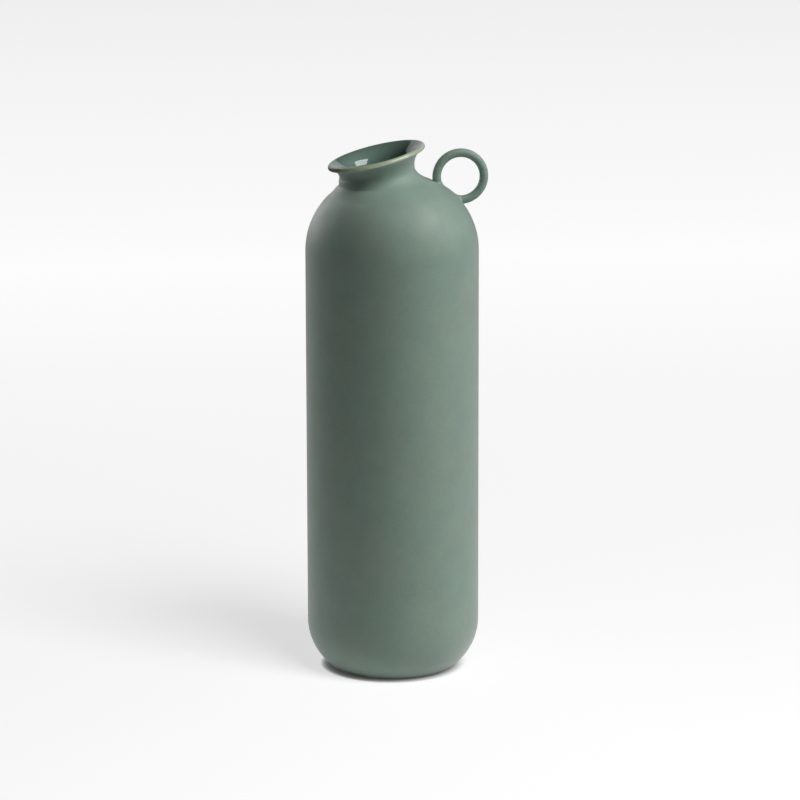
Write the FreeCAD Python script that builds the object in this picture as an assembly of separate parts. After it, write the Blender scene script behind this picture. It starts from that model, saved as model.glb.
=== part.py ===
import FreeCAD, Part
import math
import os

os.makedirs("parts", exist_ok=True)

# Frame: origin at the centre of the foot, +Z up, ring handle towards +X.
# Lengths are millimetres, angles are degrees.

# Body of revolution below the crown line
body_radius = 50.0
wall = 4.0
heel_radius = 33.2  # rounded bottom edge of the body
heel_height = 27.8  # height at which the heel meets the straight wall
foot_round = 1.0  # outer edge of the foot ring
foot_inner_radius = 28.0
foot_recess = 1.5
recess_round = 0.75
floor_height = 6.0
floor_fillet = 6.0

# Shoulder, crown, neck and lip outline, before the neck leans
shoulder_height = 247.3
shoulder_radius = 44.4
shoulder_angle = 42.7
crown_radius = 43.0
waist_radius = 21.9  # narrowest radius of the neck
neck_radius = 7.8  # concave curve between crown and lip
flare_angle = 72.0  # how far the neck curve turns outwards under the lip
lip_radius = 1.2  # full-round edge of the lip, thinner than the wall

# Lean of the neck: it slides towards -X and its mouth tips up towards +X
neck_slide = -8.7
slide_from = 279.4
slide_to = 292.2
neck_tip = 13.4
tip_from = 277.5
tip_to = 301.7

# Glaze lining, from the floor to just over the outside of the lip
glaze = 0.4
glaze_edge = 0.12  # thickness left at the outer edge of the glaze
glaze_edge_angle = -45.0  # where on the lip the glaze ends
glaze_bead_sweep = 35.0  # part of the lip over which it thickens

# Ring handle
ring_radius = 13.7
ring_thickness = 5.0
ring_x = 39.6
ring_z = 289.5
slip_bond = 0.4  # slip between the ring and the shoulder

# Places where the inner and outer lines of the ring meet the shoulder
upper_inner_corner = 207.6
upper_outer_corner = 187.6
lower_inner_corner = 257.5
lower_outer_corner = 276.8

# Slip collars: wide soft curve inside the ring, tight crease outside it
slip_film = 0.1
inner_blend_radius = 10.0
inner_blend_length = 3.1
outer_blend_radius = 0.5
outer_blend_length = 0.9

axis_z = FreeCAD.Vector(0, 0, 1)
origin = FreeCAD.Vector(0, 0, 0)
ring_centre = FreeCAD.Vector(ring_x, 0, ring_z)


def polar(centre, radius, angle):
    """Point of the outline at an angle on an arc, as (radius, height)."""
    turn = math.radians(angle)
    return (centre[0] + radius * math.cos(turn), centre[1] + radius * math.sin(turn))


heel_centre = (body_radius - heel_radius, heel_height)
shoulder_centre = (body_radius - shoulder_radius, shoulder_height)
crown_line = polar(shoulder_centre, shoulder_radius, shoulder_angle)
crown_centre = polar(crown_line, -crown_radius, shoulder_angle)
crown_reach = (waist_radius + neck_radius - crown_centre[0]) / (crown_radius + neck_radius)
crown_angle = math.degrees(math.acos(crown_reach))
neck_centre = polar(crown_centre, crown_radius + neck_radius, crown_angle)
flare_end = 180 - flare_angle
neck_start = 180 + crown_angle
lip_centre = polar(neck_centre, neck_radius + lip_radius, flare_end)
lip_frame = polar(neck_centre, neck_radius, flare_end)[1]


# ---------------------------------------------------------------- outlines

def on_seam(point):
    """Outline point in the XZ plane, on the side away from the handle."""
    return FreeCAD.Vector(-point[0], 0, point[1])


def line(start, end):
    return Part.makeLine(on_seam(start), on_seam(end))


def arc(centre, radius, start, end):
    ends = [polar(centre, radius, angle) for angle in (start, (start + end) / 2, end)]
    return Part.Arc(*[on_seam(point) for point in ends]).toShape()


def revolved(edges):
    return Part.Wire(edges).revolve(origin, axis_z, 360).Faces


def outer_faces():
    """Recess, foot ring, heel, wall and shoulder."""
    inset = heel_radius - foot_round
    rise = heel_height - foot_round
    reach = math.sqrt(inset ** 2 - rise ** 2)
    foot_centre = (heel_centre[0] + reach, foot_round)
    heel_end = -math.degrees(math.atan2(rise, reach))
    lower_round = (foot_inner_radius, recess_round)
    upper_round = (foot_inner_radius - 2 * recess_round, foot_recess - recess_round)
    return revolved([
        line((0, foot_recess), (upper_round[0], foot_recess)),
        arc(upper_round, recess_round, 90, 0),
        arc(lower_round, recess_round, 180, 270),
        line((foot_inner_radius, 0), (foot_centre[0], 0)),
        arc(foot_centre, foot_round, -90, heel_end),
        arc(heel_centre, heel_radius, heel_end, 0),
        line((body_radius, heel_height), (body_radius, shoulder_height)),
        arc(shoulder_centre, shoulder_radius, 0, shoulder_angle),
    ])


def inner_faces(offset):
    """Floor, heel, wall and shoulder of the hollow, lined by an offset."""
    inset = heel_radius - wall - floor_fillet
    rise = heel_height - floor_height - floor_fillet
    reach = math.sqrt(inset ** 2 - rise ** 2)
    fillet_centre = (heel_centre[0] + reach, floor_height + floor_fillet)
    heel_end = -math.degrees(math.atan2(rise, reach))
    bore = body_radius - wall - offset
    return revolved([
        line((0, floor_height + offset), (fillet_centre[0], floor_height + offset)),
        arc(fillet_centre, floor_fillet - offset, -90, heel_end),
        arc(heel_centre, heel_radius - wall - offset, heel_end, 0),
        line((bore, heel_height), (bore, shoulder_height)),
        arc(shoulder_centre, shoulder_radius - wall - offset, 0, shoulder_angle),
    ])


# ------------------------------------------------- leaning crown, neck, lip

def ease(value, start, end):
    step = min(max((value - start) / (end - start), 0), 1)
    return step * step * (3 - 2 * step)


def angles(start, end, step):
    count = max(1, math.ceil(abs(end - start) / step))
    return [start + (end - start) * index / count for index in range(count + 1)]


def crown_stations(offset):
    """Stations are (height that sets the lean, radius, height)."""
    return [
        (polar(crown_centre, crown_radius, a)[1],) + polar(crown_centre, crown_radius + offset, a)
        for a in angles(shoulder_angle, crown_angle, 3)
    ]


def neck_stations(offset_at, end):
    return [
        (polar(neck_centre, neck_radius, a)[1],) + polar(neck_centre, neck_radius - offset_at(a), a)
        for a in angles(neck_start, end, 8)
    ]


def neck_wall(angle):
    """Clay thickness up the neck: the full wall at the waist, thinning to the lip."""
    return 2 * lip_radius + (wall - 2 * lip_radius) * ease(angle, flare_end, 180)


def lip_stations(start, end, offset_at):
    return [
        (lip_frame,) + polar(lip_centre, lip_radius + offset_at(a), a)
        for a in angles(start, end, 8)
    ]


def outside_stations():
    """Crown line, up the neck and under the lip to the edge of the glaze."""
    lip = lip_stations(-flare_angle, glaze_edge_angle, lambda a: 0)
    neck = neck_stations(lambda a: 0, flare_end)
    return crown_stations(0) + neck[1:] + lip[1:]


def inside_stations(offset, offset_at):
    """Edge of the glaze, over the lip and down to the inner crown line."""
    lip = lip_stations(glaze_edge_angle, flare_end, offset_at)
    neck = neck_stations(lambda a: -neck_wall(a) - offset, flare_end)[::-1]
    crown = crown_stations(-wall - offset)[::-1]
    return lip + neck[1:] + crown[1:]


def glaze_at(angle):
    """Glaze thickness round the lip, swelling from its thin edge."""
    part = min((angle - glaze_edge_angle) / glaze_bead_sweep, 1)
    return glaze_edge + (glaze - glaze_edge) * math.sqrt(1 - (1 - part) ** 2)


def leaning_point(station, angle, stretch=1.0):
    """Point of a station circle; angle 0 is the side away from the handle."""
    frame_height, radius, height = station
    slide = neck_slide * ease(frame_height, slide_from, slide_to)
    tip = math.radians(neck_tip * ease(frame_height, tip_from, tip_to))
    along = -radius * stretch * math.cos(math.radians(angle))
    above = height - frame_height
    return FreeCAD.Vector(
        slide + along * math.cos(tip) - above * math.sin(tip),
        radius * stretch * math.sin(math.radians(angle)),
        frame_height + along * math.sin(tip) + above * math.cos(tip),
    )


def leaning_face(stations):
    """Smooth face through the exact circles of all the stations."""
    spacing = [0.0]
    for before, after in zip(stations, stations[1:]):
        spacing.append(spacing[-1] + math.dist(before[1:], after[1:]))
    corner = 1 / math.cos(math.radians(45))
    rows = []
    for index in range(9):
        stretch = corner if index % 2 else 1.0
        row = Part.BSplineCurve()
        points = [leaning_point(station, 45 * index, stretch) for station in stations]
        row.interpolate(Points=points, Parameters=spacing)
        rows.append(row)
    weights = [[1 / corner if i % 2 else 1.0] * rows[0].NbPoles for i in range(9)]
    surface = Part.BSplineSurface()
    surface.buildFromPolesMultsKnots(
        [row.getPoles() for row in rows],
        [3, 2, 2, 2, 3], rows[0].getMultiplicities(),
        [0, 1, 2, 3, 4], rows[0].getKnots(),
        False, False, 2, rows[0].Degree, weights,
    )
    return surface.toShape()


def station_circle(station):
    quarters = [leaning_point(station, angle) for angle in (0, 90, 180)]
    return Part.Wire(Part.Circle(*quarters).toShape())


def closed_solid(faces):
    skin = Part.makeCompound(faces)
    skin.sewShape()
    solid = Part.makeSolid(skin.Shells[0])
    if solid.Volume < 0:
        solid.reverse()
    return solid


# ------------------------------------------------------------------ pieces

def vessel_body():
    outside = leaning_face(outside_stations())
    inside = leaning_face(inside_stations(0, lambda a: 0))
    return closed_solid(outer_faces() + [outside, inside] + inner_faces(0))


def interior_glaze():
    """Thin skin from the floor of the hollow to the outside of the lip."""
    clay_stations = inside_stations(0, lambda a: 0)
    free_stations = inside_stations(glaze, glaze_at)
    edge = Part.makeRuledSurface(
        station_circle(clay_stations[0]).Edges[0], station_circle(free_stations[0]).Edges[0])
    return closed_solid(
        inner_faces(0) + [leaning_face(clay_stations)]
        + inner_faces(glaze) + [leaning_face(free_stations), edge])


def shoulder_block(offset):
    """Upper body without its hollow, grown outwards by an offset."""
    radius = body_radius + offset
    base = shoulder_height - 20
    sides = revolved([
        line((0, base), (radius, base)),
        line((radius, base), (radius, shoulder_height)),
        arc(shoulder_centre, shoulder_radius + offset, 0, shoulder_angle),
    ])
    stations = crown_stations(offset) + neck_stations(lambda a: offset, 180)[1:]
    return closed_solid(sides + [leaning_face(stations), Part.Face(station_circle(stations[-1]))])


def ring_handle():
    """Round ring, cut to sit on the shoulder with a gap for the slip."""
    across = FreeCAD.Vector(0, 1, 0)
    ring = Part.makeTorus(ring_radius, ring_thickness / 2, ring_centre, across)
    return ring.cut(shoulder_block(slip_bond)).Solids[0]


def blend(distance, radius, length):
    """Height of a rounded slip fillet at a distance from its corner."""
    inset = min(max(length - distance, 0), radius)
    return slip_film + radius - math.sqrt(radius ** 2 - inset ** 2)


def collar_section(angle, inner_corner, outer_corner, sense):
    """Circle round the ring, grown towards the hole and outwards."""
    inner_line = ring_radius - ring_thickness / 2
    outer_line = ring_radius + ring_thickness / 2
    inner_distance = math.radians(inner_corner - angle) * inner_line * sense
    outer_distance = math.radians(outer_corner - angle) * outer_line * sense
    inner = blend(inner_distance, inner_blend_radius, inner_blend_length)
    outer = blend(outer_distance, outer_blend_radius, outer_blend_length)
    turn = math.radians(angle)
    outwards = FreeCAD.Vector(math.cos(turn), 0, math.sin(turn))
    along = FreeCAD.Vector(-math.sin(turn), 0, math.cos(turn))
    centre = ring_centre + outwards * (ring_radius + (outer - inner) / 2)
    radius = (ring_thickness + inner + outer) / 2
    return Part.Wire(Part.Circle(centre, along, radius).toShape())


def slip_joint(inner_corner, outer_corner, sense, ring):
    """Slip between one end of the ring and the shoulder, with its collar."""
    outer_line = ring_radius + ring_thickness / 2
    top = outer_corner - sense * math.degrees(outer_blend_length / outer_line)
    root = inner_corner + sense * 12
    sections = [
        collar_section(angle, inner_corner, outer_corner, sense)
        for angle in angles(top, root, 3)
    ]
    collar = Part.makeLoft(sections, True)
    return collar.cut(shoulder_block(0)).cut(ring).Solids[0]


ring = ring_handle()
pieces = {
    "vessel_body": vessel_body(),
    "interior_glaze": interior_glaze(),
    "ring_handle": ring,
    "upper_slip_joint": slip_joint(upper_inner_corner, upper_outer_corner, 1, ring),
    "lower_slip_joint": slip_joint(lower_inner_corner, lower_outer_corner, -1, ring),
}
for name, shape in pieces.items():
    shape.exportStep("parts/" + name + ".step")
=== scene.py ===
import math

import bmesh
import bpy
from mathutils import Matrix, Vector
from mathutils.bvhtree import BVHTree


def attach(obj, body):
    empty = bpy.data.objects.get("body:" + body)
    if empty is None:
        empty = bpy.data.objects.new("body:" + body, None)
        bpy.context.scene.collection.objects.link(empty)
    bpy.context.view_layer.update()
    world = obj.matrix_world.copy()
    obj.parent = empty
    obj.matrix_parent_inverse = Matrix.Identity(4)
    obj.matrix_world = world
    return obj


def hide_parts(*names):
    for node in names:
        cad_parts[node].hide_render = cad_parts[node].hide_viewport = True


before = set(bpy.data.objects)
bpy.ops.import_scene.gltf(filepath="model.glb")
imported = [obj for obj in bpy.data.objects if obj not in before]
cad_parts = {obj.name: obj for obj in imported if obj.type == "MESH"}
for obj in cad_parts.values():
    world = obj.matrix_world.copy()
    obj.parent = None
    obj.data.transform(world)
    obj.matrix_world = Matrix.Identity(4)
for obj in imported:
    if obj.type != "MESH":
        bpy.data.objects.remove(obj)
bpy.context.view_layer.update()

MM = 0.001
# Points round each turned row of the pot
AROUND = 288

# Outline of the pot, the same one as the frame, in millimetres and degrees
BODY_R, WALL, GLAZE = 50.0, 4.0, 0.4
HEEL_R, HEEL_H = 33.2, 27.8
FOOT_ROUND, FOOT_IN_R, RECESS, RECESS_ROUND = 1.0, 28.0, 1.5, 0.75
FLOOR_H, FLOOR_FILLET = 6.0, 6.0
SHOULDER_H, SHOULDER_R, SHOULDER_A = 247.3, 44.4, 42.7
CROWN_R, WAIST_R, NECK_R, FLARE_A = 43.0, 21.9, 7.8, 72.0
LIP_R = 1.2
SLIDE, SLIDE_FROM, SLIDE_TO = -8.7, 279.4, 292.2
TIP, TIP_FROM, TIP_TO = 13.4, 277.5, 301.7
GLAZE_EDGE_A, BEAD_SWEEP, GLAZE_EDGE = -45.0, 35.0, 0.12
RING_R, TUBE_R, RING_X, RING_Z = 13.7, 2.5, 39.6, 289.5

# Slip joints, in millimetres: gap under the ring, and how far the collar reaches on its tight outside
# and further again towards the hole
SLIP_GAP, COLLAR_TIGHT, COLLAR_SOFT = 0.4, 0.55, 2.7
# Collar edges stand this far off the clay, and its curve is pulled this much into the corner
COLLAR_LIFT, COLLAR_PULL, COLLAR_STEPS = 0.012, 0.72, 14
RING_SIDES, RING_STEPS = 48, 180

# Camera, in metres, millimetres and degrees
CAMERA_AT, LENS, SENSOR = (-0.2875, -2.3773, 0.7209), 190.56, 36.0
HEADING, PITCH, ROLL = 7.0, 13.216, -0.126


def polar(centre, radius, angle):
    turn = math.radians(angle)
    return centre[0] + radius * math.cos(turn), centre[1] + radius * math.sin(turn)


heel_c = (BODY_R - HEEL_R, HEEL_H)
shoulder_c = (BODY_R - SHOULDER_R, SHOULDER_H)
crown_c = polar(polar(shoulder_c, SHOULDER_R, SHOULDER_A), -CROWN_R, SHOULDER_A)
CROWN_A = math.degrees(math.acos((WAIST_R + NECK_R - crown_c[0]) / (CROWN_R + NECK_R)))
neck_c = polar(crown_c, CROWN_R + NECK_R, CROWN_A)
lip_c = polar(neck_c, NECK_R + LIP_R, 180 - FLARE_A)
LIP_FRAME = polar(neck_c, NECK_R, 180 - FLARE_A)[1]


def ease(value, start, end):
    step = min(max((value - start) / (end - start), 0), 1)
    return step * step * (3 - 2 * step)


def leaning(frame_h, radius, height, turn):
    """Point at an angle round a station, in metres."""
    slide = SLIDE * ease(frame_h, SLIDE_FROM, SLIDE_TO)
    tip = math.radians(TIP * ease(frame_h, TIP_FROM, TIP_TO))
    along, above = radius * math.cos(turn), height - frame_h
    return Vector((
        slide + along * math.cos(tip) - above * math.sin(tip),
        radius * math.sin(turn),
        frame_h + along * math.sin(tip) + above * math.cos(tip),
    )) * MM


def straight(start, end, step):
    """Stations along a straight line of the outline."""
    count = max(1, math.ceil(math.dist(start, end) / step))
    out = []
    for i in range(count + 1):
        t = i / count
        r, h = start[0] + (end[0] - start[0]) * t, start[1] + (end[1] - start[1]) * t
        out.append((h, r, h))
    return out


def arc(centre, radius, start, end, step, frame_radius=None, frame_h=None):
    """Stations along an arc; the lean follows the arc of the clay's outside."""
    radius_at = radius if callable(radius) else lambda a: radius
    count = max(2, math.ceil(abs(math.radians(end - start)) * radius_at(end) / step))
    out = []
    for i in range(count + 1):
        a = start + (end - start) * i / count
        r, h = polar(centre, radius_at(a), a)
        lean = frame_h if frame_h is not None else polar(centre, frame_radius or radius, a)[1]
        out.append((lean, r, h))
    return out


def chain(*parts):
    out = list(parts[0])
    for part in parts[1:]:
        out += part[1:]
    return out


# ------------------------------------------------------------ outlines of the pieces

def outer_line():
    """Middle of the recess, foot, heel, wall, shoulder, crown, neck and lip to the glaze edge."""
    inset, rise = HEEL_R - FOOT_ROUND, HEEL_H - FOOT_ROUND
    reach = math.sqrt(inset ** 2 - rise ** 2)
    foot_c = (heel_c[0] + reach, FOOT_ROUND)
    heel_end = -math.degrees(math.atan2(rise, reach))
    low, high = (FOOT_IN_R, RECESS_ROUND), (FOOT_IN_R - 2 * RECESS_ROUND, RECESS - RECESS_ROUND)
    return chain(
        straight((0, RECESS), (high[0], RECESS), 3),
        arc(high, RECESS_ROUND, 90, 0, 0.2),
        arc(low, RECESS_ROUND, 180, 270, 0.2),
        straight((FOOT_IN_R, 0), (foot_c[0], 0), 1.2),
        arc(foot_c, FOOT_ROUND, -90, heel_end, 0.1),
        arc(heel_c, HEEL_R, heel_end, 0, 1.2),
        straight((BODY_R, HEEL_H), (BODY_R, SHOULDER_H), 3),
        arc(shoulder_c, SHOULDER_R, 0, SHOULDER_A, 1.0),
        arc(crown_c, CROWN_R, SHOULDER_A, CROWN_A, 0.6),
        arc(neck_c, NECK_R, 180 + CROWN_A, 180 - FLARE_A, 0.4),
        arc(lip_c, LIP_R, -FLARE_A, GLAZE_EDGE_A, 0.15, frame_h=LIP_FRAME),
    )


def neck_wall(angle):
    """Clay thickness up the neck, thinning from the waist to the lip."""
    return 2 * LIP_R + (WALL - 2 * LIP_R) * ease(angle, 180 - FLARE_A, 180)


def inner_line(offset, lip_offset):
    """Glaze edge, over the lip, down the neck and the wall to the middle of the floor."""
    fillet = FLOOR_FILLET - offset
    inset, rise = HEEL_R - WALL - FLOOR_FILLET, HEEL_H - FLOOR_H - FLOOR_FILLET
    reach = math.sqrt(inset ** 2 - rise ** 2)
    fillet_c = (heel_c[0] + reach, FLOOR_H + FLOOR_FILLET)
    heel_end = -math.degrees(math.atan2(rise, reach))
    bore, depth = BODY_R - WALL - offset, WALL + offset
    return chain(
        arc(lip_c, lambda a: LIP_R + lip_offset(a), GLAZE_EDGE_A, 180 - FLARE_A, 0.15,
            frame_h=LIP_FRAME),
        arc(neck_c, lambda a: NECK_R + neck_wall(a) + offset, 180 - FLARE_A, 180 + CROWN_A, 0.5,
            frame_radius=NECK_R),
        arc(crown_c, CROWN_R - depth, CROWN_A, SHOULDER_A, 0.7, frame_radius=CROWN_R),
        arc(shoulder_c, SHOULDER_R - depth, SHOULDER_A, 0, 1.2),
        straight((bore, SHOULDER_H), (bore, HEEL_H), 4),
        arc(heel_c, HEEL_R - depth, 0, heel_end, 1.2),
        arc(fillet_c, fillet, heel_end, -90, 0.6),
        straight((fillet_c[0], FLOOR_H + offset), (0, FLOOR_H + offset), 3),
    )


def clay_inside():
    """Inside of the casting, where the glaze lies on the clay."""
    return inner_line(0, lambda a: 0)


# ------------------------------------------------------------ mesh building

def mesh_object(name, verts, faces, sharp_rows=()):
    mesh = bpy.data.meshes.new(name)
    mesh.from_pydata([tuple(v) for v in verts], [], faces)
    mesh.validate()
    bm = bmesh.new()
    bm.from_mesh(mesh)
    bm.verts.ensure_lookup_table()
    rows = [set(row) for row in sharp_rows]
    for edge in bm.edges:
        if any(edge.verts[0].index in row and edge.verts[1].index in row for row in rows):
            edge.smooth = False
    bmesh.ops.recalc_face_normals(bm, faces=bm.faces)
    for face in bm.faces:
        face.smooth = True
    bm.to_mesh(mesh)
    bm.free()
    obj = bpy.data.objects.new(name, mesh)
    bpy.context.scene.collection.objects.link(obj)
    return obj


def skin(name, rows, sharp=()):
    """Closed mesh from rows of equal length; a row of one point is a pole. sharp holds row numbers."""
    verts, starts = [], []
    for row in rows:
        starts.append(len(verts))
        verts += row
    faces = []
    for i in range(len(rows) - 1):
        a, b = starts[i], starts[i + 1]
        n, m = len(rows[i]), len(rows[i + 1])
        for j in range(max(n, m)):
            k = (j + 1) % max(n, m)
            if n == 1:
                faces.append((a, b + j, b + k))
            elif m == 1:
                faces.append((a + j, b, a + k))
            else:
                faces.append((a + j, b + j, b + k, a + k))
    sharp_rows = [range(starts[i], starts[i] + len(rows[i])) for i in sharp]
    return mesh_object(name, verts, faces, sharp_rows)


def turned_rows(stations):
    """Rows of points round the pot, one row for each station; a station on the axis is one point."""
    rows = []
    for frame_h, radius, height in stations:
        if radius < 1e-6:
            rows.append([leaning(frame_h, 0, height, 0)])
        else:
            rows.append([
                leaning(frame_h, radius, height, 2 * math.pi * j / AROUND) for j in range(AROUND)
            ])
    return rows


def store(obj, name, rows, values):
    """One number per row of points, for the materials to read."""
    attribute = obj.data.attributes.new(name, "FLOAT", "POINT")
    flat = [value for row, value in zip(rows, values) for _ in row]
    attribute.data.foreach_set("value", flat)


def lengths(stations, zero):
    """Millimetres along the outline from station number zero."""
    run = [0.0]
    for before, after in zip(stations, stations[1:]):
        run.append(run[-1] + math.dist(before[1:], after[1:]))
    return [value - run[zero] for value in run]


def bead(angle):
    """Glaze thickness round the lip, swelling from its rounded edge to the full coat."""
    part = min((angle - GLAZE_EDGE_A) / BEAD_SWEEP, 1)
    return GLAZE_EDGE + (GLAZE - GLAZE_EDGE) * math.sqrt(1 - (1 - part) ** 2)


def build_body():
    return skin("vessel_body_casting", turned_rows(chain(outer_line(), clay_inside())))


def build_glaze():
    free, clay = inner_line(GLAZE, bead), clay_inside()
    top = max(range(len(free)), key=lambda i: free[i][2])
    rows = turned_rows(free[::-1]) + turned_rows(clay)
    lining = skin("interior_glaze_lining", rows, sharp=(len(free) - 1, len(free)))
    along = lengths(free, top)[::-1] + lengths(clay, 0)
    store(lining, "from_lip", rows, along)
    return lining


# ------------------------------------------------------------ ring and slip

def ring_point(turn, side, tube=TUBE_R):
    """turn goes round the ring, side goes round its tube; side 180 faces the hole."""
    a, s = math.radians(turn), math.radians(side)
    reach = RING_R + tube * math.cos(s)
    across, up = reach * math.cos(a), reach * math.sin(a)
    return Vector((RING_X + across, tube * math.sin(s), RING_Z + up)) * MM


def height_over(tree, point):
    """Distance of a point from the clay, negative inside it, in metres."""
    nearest, normal, _, _ = tree.find_nearest(point)
    return (point - nearest).dot(normal)


def meeting_turn(tree, side, clear, buried, gap=0.0):
    """Turn at which a line along the ring comes within a gap of the shoulder."""
    for _ in range(30):
        middle = (clear + buried) / 2
        if height_over(tree, ring_point(middle, side)) > gap * MM:
            clear = middle
        else:
            buried = middle
    return (clear + buried) / 2


def foot_of_ring(tree, clear, buried):
    """Per side: where the ring line meets the shoulder, and where its end is cut."""
    sides = [360 * k / RING_SIDES for k in range(RING_SIDES)]
    meets = [meeting_turn(tree, side, clear, buried) for side in sides]
    ends = [meeting_turn(tree, side, clear, buried, SLIP_GAP) for side in sides]
    return sides, meets, ends


def middle_of(points):
    return sum(points, Vector()) / len(points)


def build_ring(upper, lower):
    """Ring from its upper end round to its lower end, closed by a fan at each end."""
    sides, _, starts = upper
    stops = lower[2]
    rows = []
    for i in range(RING_STEPS + 1):
        t = i / RING_STEPS
        rows.append([ring_point(a + (b - a) * t, s) for a, b, s in zip(starts, stops, sides)])
    rows = [[middle_of(rows[0])]] + rows + [[middle_of(rows[-1])]]
    return skin("ring_handle_loop", rows, sharp=(1, RING_STEPS + 1))


def curve_point(start, corner, end, t):
    """Point on a cubic curve from start to end that is pulled towards the corner."""
    near, far = start.lerp(corner, COLLAR_PULL), end.lerp(corner, COLLAR_PULL)
    return (start * (1 - t) ** 3 + near * 3 * t * (1 - t) ** 2
            + far * 3 * t * t * (1 - t) + end * t ** 3)


def collar_line(tree, foot, k, centre, crossing, sense):
    """One line of the collar, from the tube of the ring down to the shoulder."""
    sides, meets, _ = foot
    corner = crossing[k]
    along = crossing[(k + 1) % RING_SIDES] - crossing[k - 1]
    away = along.cross(tree.find_nearest(corner)[1]).normalized()
    if away.dot(corner - centre) < 0:
        away = -away
    inward = ((1 - math.cos(math.radians(sides[k]))) / 2) ** 1.5
    reach = COLLAR_TIGHT + COLLAR_SOFT * inward
    line = RING_R + TUBE_R * math.cos(math.radians(sides[k]))
    turn = meets[k] - sense * math.degrees(reach / line)
    high = ring_point(turn, sides[k], TUBE_R + COLLAR_LIFT)
    low, low_normal, _, _ = tree.find_nearest(corner + away * reach * MM)
    low = low + low_normal * COLLAR_LIFT * MM
    return [curve_point(high, corner, low, i / COLLAR_STEPS) for i in range(COLLAR_STEPS + 1)]


def build_slip(name, tree, foot, sense):
    """Slip under one end of the ring, with its collar smoothed wide towards the hole."""
    sides, meets, ends = foot
    crossing = [ring_point(a, s) for a, s in zip(meets, sides)]
    centre = middle_of(crossing)
    lines = [collar_line(tree, foot, k, centre, crossing, sense) for k in range(RING_SIDES)]
    collar = [list(row) for row in zip(*lines)]
    under = [tree.find_nearest(x)[0] for x in crossing]
    cut = [ring_point(a, s) for a, s in zip(ends, sides)]
    rows = [[middle_of(cut)], cut] + collar + [under, [tree.find_nearest(centre)[0]]]
    return skin(name, rows, sharp=(1, 2, 2 + COLLAR_STEPS, 3 + COLLAR_STEPS))


def search_tree(obj):
    """Tree for finding the nearest point on a piece."""
    bm = bmesh.new()
    bm.from_mesh(obj.data)
    tree = BVHTree.FromBMesh(bm)
    bm.free()
    return tree


body = build_body()
lining = build_glaze()
shoulder = search_tree(body)
# Turns round the ring, in degrees: one clear of the shoulder and one buried in it
upper_foot = foot_of_ring(shoulder, 170.0, 225.0)
lower_foot = foot_of_ring(shoulder, -70.0, -115.0)
ring = build_ring(upper_foot, lower_foot)
upper_slip = build_slip("upper_slip_collar", shoulder, upper_foot, 1)
lower_slip = build_slip("lower_slip_collar", shoulder, lower_foot, -1)


# ------------------------------------------------------------ materials

class Nodes:
    """Short ways to add and link shader nodes."""

    def __init__(self, name):
        self.material = bpy.data.materials.new(name)
        self.material.use_nodes = True
        self.tree = self.material.node_tree
        self.shader = self.tree.nodes["Principled BSDF"]
        coords = self.tree.nodes.new("ShaderNodeTexCoord")
        self.place = coords.outputs["Object"]

    def add(self, kind, **inputs):
        node = self.tree.nodes.new("ShaderNode" + kind)
        for key, value in inputs.items():
            self.put(node.inputs[key.replace("_", " ")], value)
        return node

    def put(self, socket, value):
        if isinstance(value, bpy.types.NodeSocket):
            self.tree.links.new(value, socket)
        else:
            socket.default_value = value

    def noise(self, size_mm, detail=2.0, rough=0.5, warp=0.0):
        node = self.add("TexNoise", Vector=self.place, Scale=1 / (size_mm * MM),
                        Detail=detail, Roughness=rough, Distortion=warp)
        return node.outputs["Fac"]

    def cells(self, size_mm):
        node = self.add("TexVoronoi", Vector=self.place, Scale=1 / (size_mm * MM))
        return node.outputs["Distance"]

    def spread(self, value, low, high, to_low, to_high, smooth=True):
        node = self.add("MapRange")
        node.interpolation_type = "SMOOTHSTEP" if smooth else "LINEAR"
        for key, item in zip(("Value", "From Min", "From Max", "To Min", "To Max"),
                             (value, low, high, to_low, to_high)):
            self.put(node.inputs[key], item)
        return node.outputs["Result"]

    def math(self, how, a, b=0.0):
        node = self.add("Math")
        node.operation = how
        self.put(node.inputs[0], a)
        self.put(node.inputs[1], b)
        return node.outputs["Value"]

    def blend(self, amount, a, b, how="MIX"):
        node = self.tree.nodes.new("ShaderNodeMix")
        node.data_type = "RGBA"
        node.blend_type = how
        self.put(node.inputs["Factor"], amount)
        self.put(node.inputs["A"], a)
        self.put(node.inputs["B"], b)
        return node.outputs["Result"]

    def scale_colour(self, colour, factor):
        grey = self.add("CombineColor", Red=factor, Green=factor, Blue=factor).outputs["Color"]
        return self.blend(1.0, colour, grey, "MULTIPLY")

    def attribute(self, name):
        node = self.tree.nodes.new("ShaderNodeAttribute")
        node.attribute_name = name
        return node.outputs["Fac"]

    def height(self):
        return self.add("SeparateXYZ", Vector=self.place).outputs["Z"]

    def bump(self, height, depth_mm, strength=1.0, over=None):
        node = self.add("Bump", Height=height, Distance=depth_mm * MM, Strength=strength)
        if over is not None:
            self.put(node.inputs["Normal"], over)
        return node.outputs["Normal"]

    def finish(self, colour, roughness, normal, **more):
        self.put(self.shader.inputs["Base Color"], colour)
        self.put(self.shader.inputs["Roughness"], roughness)
        self.put(self.shader.inputs["Normal"], normal)
        for key, value in more.items():
            self.put(self.shader.inputs[key.replace("_", " ")], value)
        return self.material


CLAY = (0.292, 0.425, 0.348, 1)
CLAY_WARM = (0.312, 0.420, 0.342, 1)
CLAY_PALE = (0.47, 0.54, 0.45, 1)
SPECK = (0.17, 0.21, 0.17, 1)
DEEP_DARK, DEEP_LIGHT = (0.125, 0.205, 0.170, 1), (0.165, 0.245, 0.205, 1)
# Pale lip colours: glaze thinning over the edge, made brighter to serve as a painted highlight along
# the crest
LIP_BREAK_AND_HIGHLIGHT_DARK, LIP_BREAK_AND_HIGHLIGHT_LIGHT = (0.34, 0.41, 0.28, 1), (0.48, 0.55, 0.40, 1)
BODY_SHEEN, HANDLE_SHEEN, SLIP_SHEEN = 0.75, 0.1, 0.3


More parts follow.
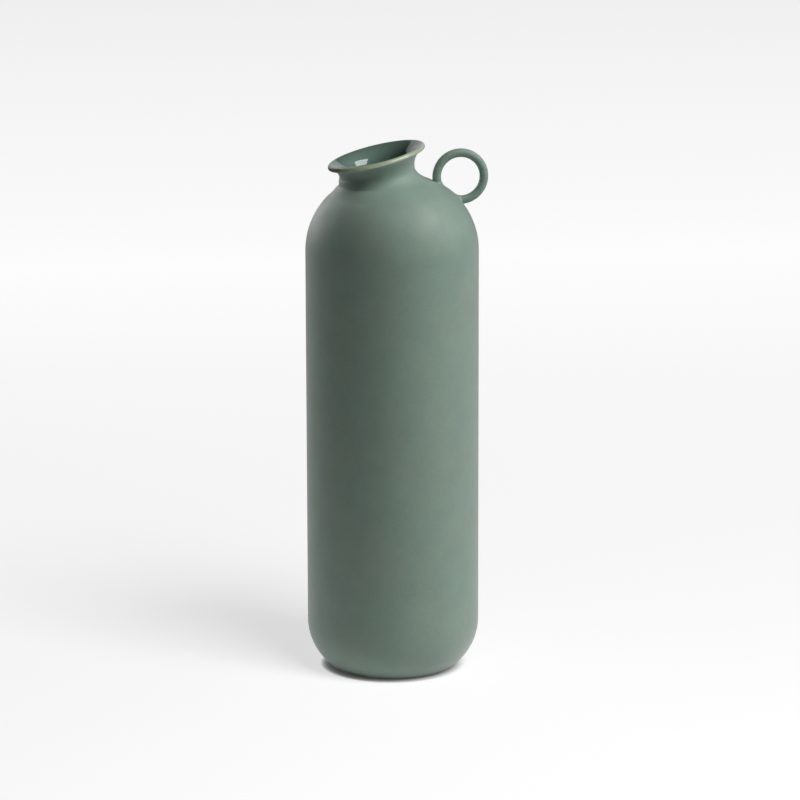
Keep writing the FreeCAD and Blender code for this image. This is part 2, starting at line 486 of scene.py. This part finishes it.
def clay_material(name, sheen, worn=None):
    """Through-coloured matte stoneware: clouded colour, fine grain, a few dark specks.

    sheen is the strength of the soft light at grazing angles; worn gives the places rubbed pale.
    """
    n = Nodes(name)
    cloud = n.spread(n.noise(38, 3, 0.55, 0.4), 0.3, 0.7, 0.0, 1.0)
    colour = n.blend(cloud, CLAY, CLAY_WARM)
    tone = n.spread(n.noise(14, 4, 0.6), 0.25, 0.75, 0.94, 1.06, smooth=False)
    grain = n.noise(0.9, 5, 0.7)
    tone = n.math("MULTIPLY", tone, n.spread(grain, 0.3, 0.7, 0.92, 1.08, smooth=False))
    colour = n.scale_colour(colour, tone)
    speck = n.math("MULTIPLY", n.spread(n.cells(2.6), 0.06, 0.12, 1.0, 0.0),
                   n.spread(n.noise(6.0), 0.56, 0.62, 0.0, 1.0))
    colour = n.blend(n.math("MULTIPLY", speck, 0.45), colour, SPECK)
    if worn is not None:
        colour = n.blend(worn(n), colour, CLAY_PALE)
    patchy = n.spread(n.noise(9, 3, 0.5), 0.3, 0.7, 0.50, 0.58, smooth=False)
    rough = n.math("ADD", patchy, n.spread(grain, 0.3, 0.7, -0.04, 0.04, smooth=False))
    normal = n.bump(n.noise(7, 2, 0.4), 0.05, 0.5)
    normal = n.bump(grain, 0.02, 0.6, normal)
    pits = n.spread(n.cells(1.7), 0.0, 0.16, 0.0, 1.0)
    normal = n.bump(pits, 0.015, 0.5, normal)
    return n.finish(colour, rough, normal, Specular_IOR_Level=0.5,
                    Sheen_Weight=sheen, Sheen_Roughness=0.45, Sheen_Tint=(1, 1, 1, 1))


def foot_wear(n):
    """Pale rubbed edge where the foot ring touches the table."""
    low = n.spread(n.height(), 0.0, 0.5 * MM, 1.0, 0.0)
    return n.math("MULTIPLY", low, n.spread(n.noise(2.2, 4, 0.7), 0.35, 0.6, 0.1, 0.7))


def glaze_material():
    """Clear gloss glaze over green clay, thin and pale where it breaks over the lip; that pale colour
    is also made brighter as a painted highlight all along the lip.
    """
    n = Nodes("gloss_glaze")
    along = n.attribute("from_lip")
    wander = n.spread(n.noise(3.5, 3, 0.6), 0.2, 0.8, -0.25, 0.25, smooth=False)
    place = n.math("ADD", along, wander)
    deep = n.blend(n.noise(12, 4, 0.6), DEEP_DARK, DEEP_LIGHT)
    # Pale lip: thin glaze over the edge, brightened as a painted highlight
    pale = n.blend(n.noise(1.6, 4, 0.6), LIP_BREAK_AND_HIGHLIGHT_DARK, LIP_BREAK_AND_HIGHLIGHT_LIGHT)
    colour = n.blend(n.spread(place, -0.9, 1.0, 0.0, 1.0), pale, deep)
    tone = n.spread(n.noise(0.8, 3, 0.6), 0.3, 0.7, 0.95, 1.05, smooth=False)
    colour = n.scale_colour(colour, tone)
    normal = n.bump(n.noise(5.0, 2, 0.4), 0.06, 0.5)
    normal = n.bump(n.noise(0.9, 2, 0.5), 0.004, 0.5, normal)
    rough = n.spread(place, -3.0, 3.0, 0.26, 0.08)
    return n.finish(colour, rough, normal, Coat_Weight=0.6, Coat_Roughness=0.05)


body.data.materials.append(clay_material("bare_stoneware", BODY_SHEEN, foot_wear))
ring.data.materials.append(clay_material("handle_stoneware", HANDLE_SHEEN))
slip_clay = clay_material("luting_slip", SLIP_SHEEN)
upper_slip.data.materials.append(slip_clay)
lower_slip.data.materials.append(slip_clay)
lining.data.materials.append(glaze_material())

PIECES = [
    (body, "vessel_body", "bare_stoneware"),
    (lining, "interior_glaze", "gloss_glaze"),
    (ring, "ring_handle", "handle_stoneware"),
    (upper_slip, "upper_slip_joint", "luting_slip"),
    (lower_slip, "lower_slip_joint", "luting_slip"),
]
for piece, node, slot in PIECES:
    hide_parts(node)
    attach(piece, "root")


# ------------------------------------------------------------ stage, light and camera

# Sweep, in metres: half its width, its front and back edges, the radius of its bend, its top, steps
SWEEP_HALF, SWEEP_FRONT, SWEEP_BACK = 9.0, -8.0, 9.0
SWEEP_BEND, SWEEP_TOP, BEND_STEPS = 3.0, 6.0, 24
# Glow of the floor as the camera sees it: near the pot, behind it, and how much it fades in the far
GLOW_NEAR, GLOW_BEHIND, GLOW_FADE = 0.665, 0.975, -0.115
# Light that the floor throws back onto the pot, and the distances between which it dies away
BOUNCE, BOUNCE_FULL, BOUNCE_GONE = 0.22, 0.10, 0.45
# Contact shadow: its reach, how sharply it deepens, and the direction that stays bright
CONTACT_REACH, CONTACT_POWER = 5 * MM, 2.0
CONTACT_SIDE = {"X": 0.76, "Y": 0.4, "Z": 0.51}


def floor_mesh():
    """Pale sweep: flat under the pot, rising in a wide curve far behind it."""
    bend_at = SWEEP_BACK - SWEEP_BEND
    profile = [(SWEEP_FRONT, 0.0), (bend_at, 0.0)]
    for i in range(1, BEND_STEPS + 1):
        a = math.radians(90 * i / BEND_STEPS)
        profile.append((bend_at + SWEEP_BEND * math.sin(a), SWEEP_BEND - SWEEP_BEND * math.cos(a)))
    profile.append((SWEEP_BACK, SWEEP_TOP))
    verts = [(side, y, z) for side in (-SWEEP_HALF, SWEEP_HALF) for y, z in profile]
    count = len(profile)
    faces = [(i, i + count, i + count + 1, i + 1) for i in range(count - 1)]
    mesh = bpy.data.meshes.new("floor")
    mesh.from_pydata(verts, [], faces)
    for face in mesh.polygons:
        face.use_smooth = True
    return mesh


def contact_shadow(n):
    """1 in the open, falling to 0 where the pot stands close above the floor."""
    close = n.tree.nodes.new("ShaderNodeAmbientOcclusion")
    close.samples = 8
    close.inputs["Distance"].default_value = CONTACT_REACH
    n.put(close.inputs["Normal"], n.add("CombineXYZ", **CONTACT_SIDE).outputs["Vector"])
    return n.math("POWER", close.outputs["AO"], CONTACT_POWER)


def floor_glow(n, far):
    """An even pale ground for the camera, and a soft bounce onto the pot for every other ray."""
    camera_glow = n.math("ADD", n.spread(far, 0.0, 1.2, GLOW_NEAR, GLOW_BEHIND, smooth=False),
                         n.spread(far, 1.0, 2.9, 0.0, GLOW_FADE, smooth=False))
    from_pot = n.tree.nodes.new("ShaderNodeVectorMath")
    from_pot.operation = "LENGTH"
    n.put(from_pot.inputs[0], n.place)
    bounce = n.spread(from_pot.outputs["Value"], BOUNCE_FULL, BOUNCE_GONE, BOUNCE, 0.0)
    seen = n.tree.nodes.new("ShaderNodeLightPath").outputs["Is Camera Ray"]
    glow = n.spread(seen, 0.0, 1.0, bounce, camera_glow, smooth=False)
    return n.math("MULTIPLY", glow, contact_shadow(n))


def floor_material():
    """Pale floor that takes the lamps' shadow near the pot and only glows far behind it."""
    n = Nodes("pale_floor")
    n.place = n.add("NewGeometry").outputs["Position"]
    far = n.add("SeparateXYZ", Vector=n.place).outputs["Y"]
    tone = n.spread(n.noise(900, 2, 0.5), 0.3, 0.7, 0.395, 0.405)
    tone = n.math("MULTIPLY", tone, n.spread(far, 0.0, 1.4, 1.0, 0.0, smooth=False))
    colour = n.add("CombineColor", Red=tone, Green=tone, Blue=tone).outputs["Color"]
    n.put(n.shader.inputs["Emission Color"], (1, 1, 1, 1))
    n.put(n.shader.inputs["Emission Strength"], floor_glow(n, far))
    bumps = n.bump(n.noise(0.8, 3), 0.01, 0.3)
    return n.finish(colour, 0.85, bumps, Specular_IOR_Level=0.0)


def build_floor():
    mesh = floor_mesh()
    floor = bpy.data.objects.new("floor", mesh)
    bpy.context.scene.collection.objects.link(floor)
    mesh.materials.append(floor_material())
    return floor


floor = build_floor()


# The lamps aim at this height on the axis of the pot, in metres
LAMP_AIM = 0.16


def softbox(name, around, up, away, width, height, power):
    """Soft lamp aimed at the pot, some degrees right of the camera side and some degrees up."""
    turn = math.radians(around - 90 - HEADING)
    rise = math.radians(up)
    aim = Vector((0, 0, LAMP_AIM))
    side = Vector((math.cos(turn) * math.cos(rise), math.sin(turn) * math.cos(rise), math.sin(rise)))
    light = bpy.data.lights.new(name, "AREA")
    light.shape = "RECTANGLE"
    light.size, light.size_y = width, height
    light.energy = power
    obj = bpy.data.objects.new(name, light)
    obj.location = aim + side * away
    obj.rotation_euler = (-side).to_track_quat("-Z", "Y").to_euler()
    bpy.context.scene.collection.objects.link(obj)
    return obj


def lit_group(name, objects):
    """Collection a lamp is limited to."""
    group = bpy.data.collections.new(name)
    for obj in objects:
        group.objects.link(obj)
    return group


matte = lit_group("matte", [body, ring, upper_slip, lower_slip])
glossy = lit_group("glossy", [lining])
ground = lit_group("ground", [floor])

# Name, degrees right, degrees up, metres away, width, height, watts, and the pieces it lights
LAMPS = [
    ("side", 80, 40, 1.9, 1.0, 1.2, 22.8, matte),
    ("top", 34, 58, 1.9, 0.7, 0.8, 6.8, matte),
    ("back_left", -140, 15, 4.0, 4.0, 2.2, 76.0, matte),
    ("ground", 42, 52, 1.9, 1.0, 1.0, 37.0, ground),
    ("window", 56, 40, 1.9, 1.5, 1.5, 40.0, glossy),
    ("glow", 180, 15, 4.4, 8.0, 2.4, 28.0, glossy),
]
for *shape, group in LAMPS:
    softbox(*shape).light_linking.receiver_collection = group

# The room is dark: all light comes from the lamps and the floor
world = bpy.data.worlds.new("studio")
world.use_nodes = True
bpy.context.scene.world = world
world.node_tree.nodes["Background"].inputs["Strength"].default_value = 0.0


def place_camera():
    """Long lens from above the rim, turned to the heading, tipped down and levelled."""
    camera = bpy.data.objects.new("camera", bpy.data.cameras.new("camera"))
    bpy.context.scene.collection.objects.link(camera)
    camera.data.lens = LENS
    camera.data.sensor_width = SENSOR
    camera.data.clip_end = 100
    camera.location = CAMERA_AT
    turned = Matrix.Rotation(-math.radians(HEADING), 4, "Z")
    tipped = Matrix.Rotation(math.pi / 2 - math.radians(PITCH), 4, "X")
    levelled = Matrix.Rotation(math.radians(ROLL), 4, "Z")
    camera.rotation_euler = (turned @ tipped @ levelled).to_euler()
    bpy.context.scene.camera = camera


place_camera()
bpy.context.scene.view_settings.view_transform = "Standard"
